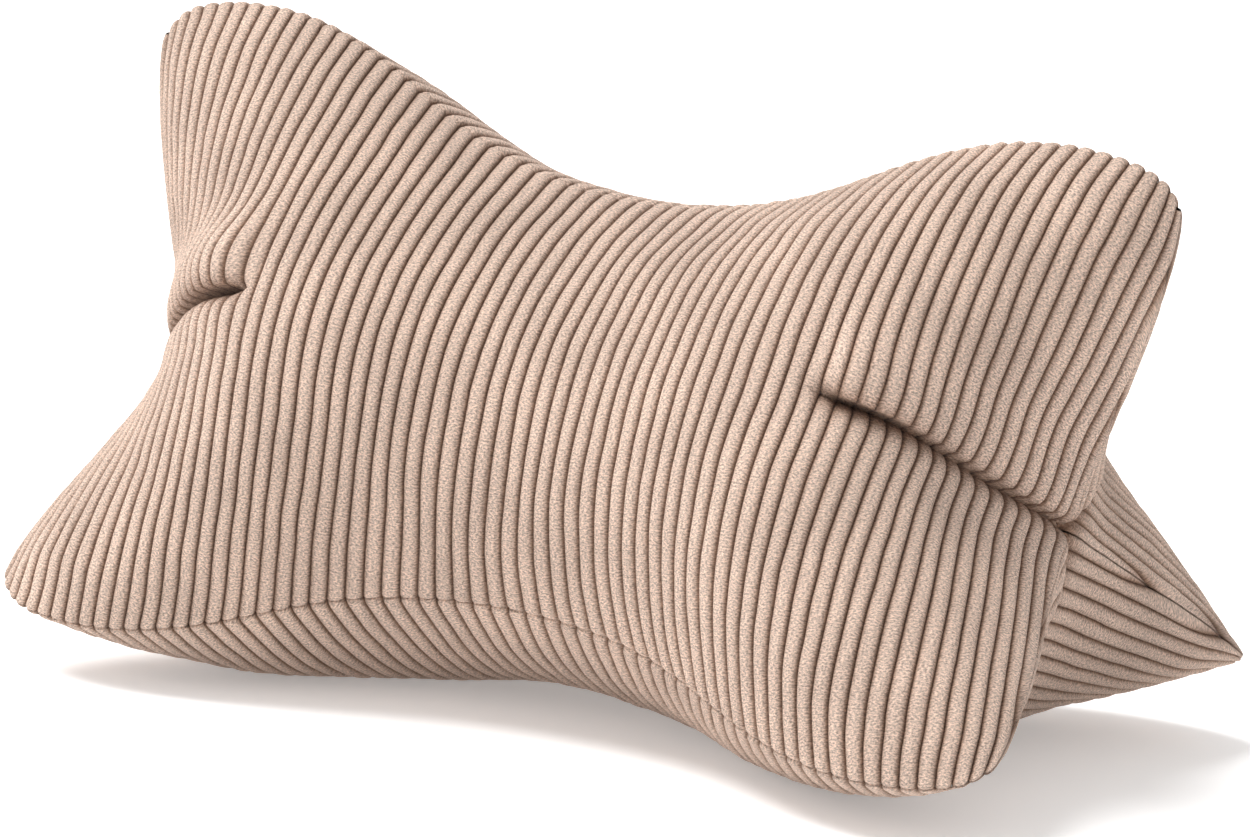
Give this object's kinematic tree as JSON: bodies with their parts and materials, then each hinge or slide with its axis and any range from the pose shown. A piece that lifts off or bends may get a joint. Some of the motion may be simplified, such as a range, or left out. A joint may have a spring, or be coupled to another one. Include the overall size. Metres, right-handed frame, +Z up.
{
  "type": "lumbar support cushion",
  "caption": "Bone-shaped lumbar support cushion: wide-wale corduroy cover of equal panels round a fibre-filled liner, with a zip in the hidden back seam.",
  "frame": {"origin": "on the floor under the middle of the cushion, at the centre of its bounding box's underside", "axes": "+X along the cushion to the viewer's right, +Y to the back, +Z up"},
  "size_m": [0.3992, 0.2182, 0.2106],
  "materials": {
    "corduroy": "wide-wale cotton corduroy, brushed pile",
    "thread": "polyester sewing thread",
    "liner_cotton": "plain-woven cotton",
    "polyester_fibre": "loose hollow fibre",
    "zip_tape": "woven tape",
    "zip_nylon": "satin",
    "zip_metal": "satin nickel-look",
    "label_satin": "woven satin, blank"
  },
  "bodies": {
    "cushion": {"care_label": "label_satin", "cover_back_panel": "corduroy", "cover_base_panel": "corduroy", "cover_front_panel": "corduroy", "fibre_filling": "polyester_fibre", "liner_back_panel": "liner_cotton", "liner_base_panel": "liner_cotton", "liner_front_panel": "liner_cotton", "liner_thread_back": "thread", "liner_thread_front": "thread", "liner_thread_top": "thread", "seam_thread_back_left": "thread", "seam_thread_back_right": "thread", "seam_thread_front": "thread", "seam_thread_top": "thread", "zip_coil_lower": "zip_nylon", "zip_coil_upper": "zip_nylon", "zip_stop_left": "zip_metal", "zip_stop_right": "zip_metal", "zip_tape_lower": "zip_tape", "zip_tape_upper": "zip_tape"},
    "slider": {"zip_slider": "zip_metal"},
    "pull": {"zip_pull": "zip_metal"}
  },
  "joints": [
    {"name": "zip_slide", "type": "hinge", "parent": "cushion", "child": "slider", "pos_m": [0, 0.23313, -0.0496], "axis": [0, -0.5, -0.866], "range_deg": [0, 40]},
    {"name": "zip_pull_swing", "type": "hinge", "parent": "slider", "child": "pull", "pos_m": [0.06293, 0.08339, 0.03685], "axis": [-0.342, 0.8138, -0.4698], "range_deg": [-80, 80]}
  ]
}
